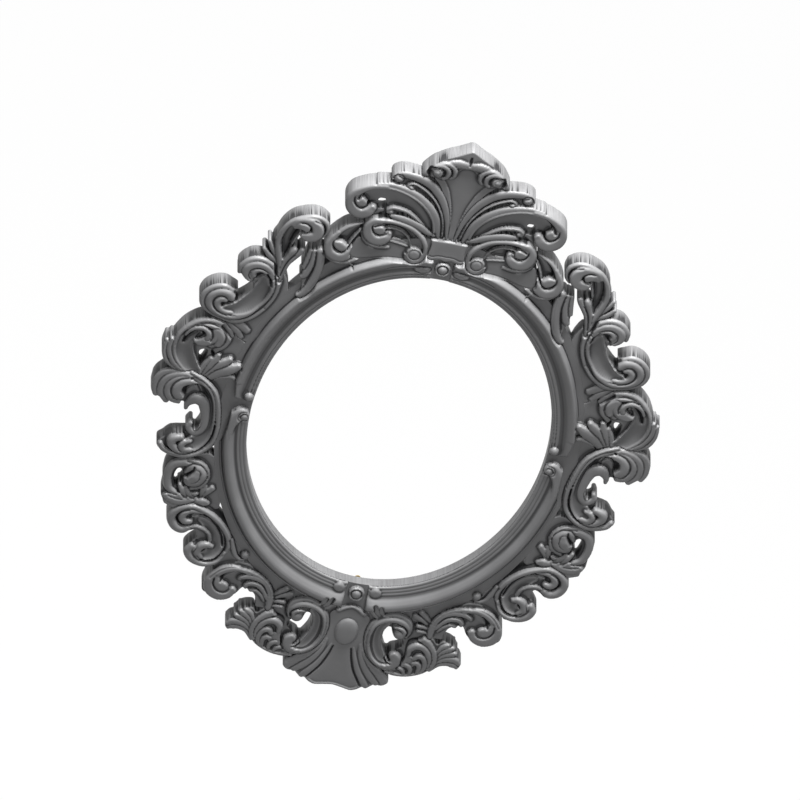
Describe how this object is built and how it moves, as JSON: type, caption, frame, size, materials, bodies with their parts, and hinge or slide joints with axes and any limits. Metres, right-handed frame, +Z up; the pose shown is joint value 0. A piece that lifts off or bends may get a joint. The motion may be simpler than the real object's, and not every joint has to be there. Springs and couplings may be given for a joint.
{
  "type": "carved picture frame",
  "caption": "Oval wall-hung picture frame in carved wood with a beaded moulding, open scrolls, a palmette crest and a shell apron.",
  "frame": {"origin": "centre of the oval opening, on the back plane that lies against the wall", "axes": "+X to the right seen from the front, +Y from the front to the wall, +Z up to the crest"},
  "size_m": [0.6712, 0.0398, 0.8806],
  "materials": {
    "carved_wood": "satin graphite-grey paint over carved wood",
    "button_brass": "satin",
    "hanger_steel": "zinc plated"
  },
  "bodies": {
    "frame": {"ring_top": "carved_wood", "ring_right": "carved_wood", "ring_bottom": "carved_wood", "ring_left": "carved_wood", "crest_band": "carved_wood", "crest_plaque": "carved_wood", "shell": "carved_wood", "rosette_top": "carved_wood", "rosette_bottom": "carved_wood", "cabochon": "carved_wood", "crest_mid_scroll_right": "carved_wood", "crest_mid_scroll_left": "carved_wood", "crest_large_frond_right": "carved_wood", "crest_large_frond_left": "carved_wood", "crest_upper_frond_right": "carved_wood", "crest_upper_frond_left": "carved_wood", "shoulder_scroll_right": "carved_wood", "shoulder_scroll_left": "carved_wood", "crest_side_scroll_right": "carved_wood", "crest_side_scroll_left": "carved_wood", "middle_scroll_right": "carved_wood", "middle_scroll_left": "carved_wood", "upper_scroll_right": "carved_wood", "upper_scroll_left": "carved_wood", "cheek_scroll_right": "carved_wood", "cheek_scroll_left": "carved_wood", "hip_scroll_right": "carved_wood", "hip_scroll_left": "carved_wood", "lower_scroll_right": "carved_wood", "lower_scroll_left": "carved_wood", "foot_scroll_right": "carved_wood", "foot_scroll_left": "carved_wood", "bottom_scroll_right": "carved_wood", "bottom_scroll_left": "carved_wood", "foot_leaves_right": "carved_wood", "foot_leaves_left": "carved_wood", "drop_leaf_right": "carved_wood", "drop_leaf_left": "carved_wood", "moulding_upper_right": "carved_wood", "moulding_upper_left": "carved_wood", "moulding_lower_right": "carved_wood", "moulding_lower_left": "carved_wood", "turn_button_screw_1": "button_brass", "turn_button_screw_2": "button_brass", "turn_button_screw_3": "button_brass", "turn_button_screw_4": "button_brass", "hanger_strap_right": "hanger_steel", "hanger_strap_left": "hanger_steel", "hanger_screw_right": "hanger_steel", "hanger_screw_left": "hanger_steel"},
    "turn_button_1": {"turn_button_1": "button_brass"},
    "turn_button_2": {"turn_button_2": "button_brass"},
    "turn_button_3": {"turn_button_3": "button_brass"},
    "turn_button_4": {"turn_button_4": "button_brass"},
    "hanger_ring_right": {"hanger_ring_right": "hanger_steel"},
    "hanger_ring_left": {"hanger_ring_left": "hanger_steel"}
  },
  "joints": [
    {"name": "turn_button_1_turn", "type": "hinge", "parent": "frame", "child": "turn_button_1", "pos_m": [0, 0.0011, 0.272], "axis": [0, 1, 0], "continuous": true},
    {"name": "turn_button_2_turn", "type": "hinge", "parent": "frame", "child": "turn_button_2", "pos_m": [0.22, 0.0011, 0], "axis": [0, 1, 0], "continuous": true},
    {"name": "turn_button_3_turn", "type": "hinge", "parent": "frame", "child": "turn_button_3", "pos_m": [0, 0.0011, -0.272], "axis": [0, 1, 0], "continuous": true},
    {"name": "turn_button_4_turn", "type": "hinge", "parent": "frame", "child": "turn_button_4", "pos_m": [-0.22, 0.0011, 0], "axis": [0, 1, 0], "continuous": true},
    {"name": "hanger_ring_right_swing", "type": "hinge", "parent": "frame", "child": "hanger_ring_right", "pos_m": [0.187, 0.00305, 0.158], "axis": [1, 0, 0], "range_deg": [0, 180]},
    {"name": "hanger_ring_left_swing", "type": "hinge", "parent": "frame", "child": "hanger_ring_left", "pos_m": [-0.187, 0.00305, 0.158], "axis": [1, 0, 0], "range_deg": [0, 180]}
  ]
}
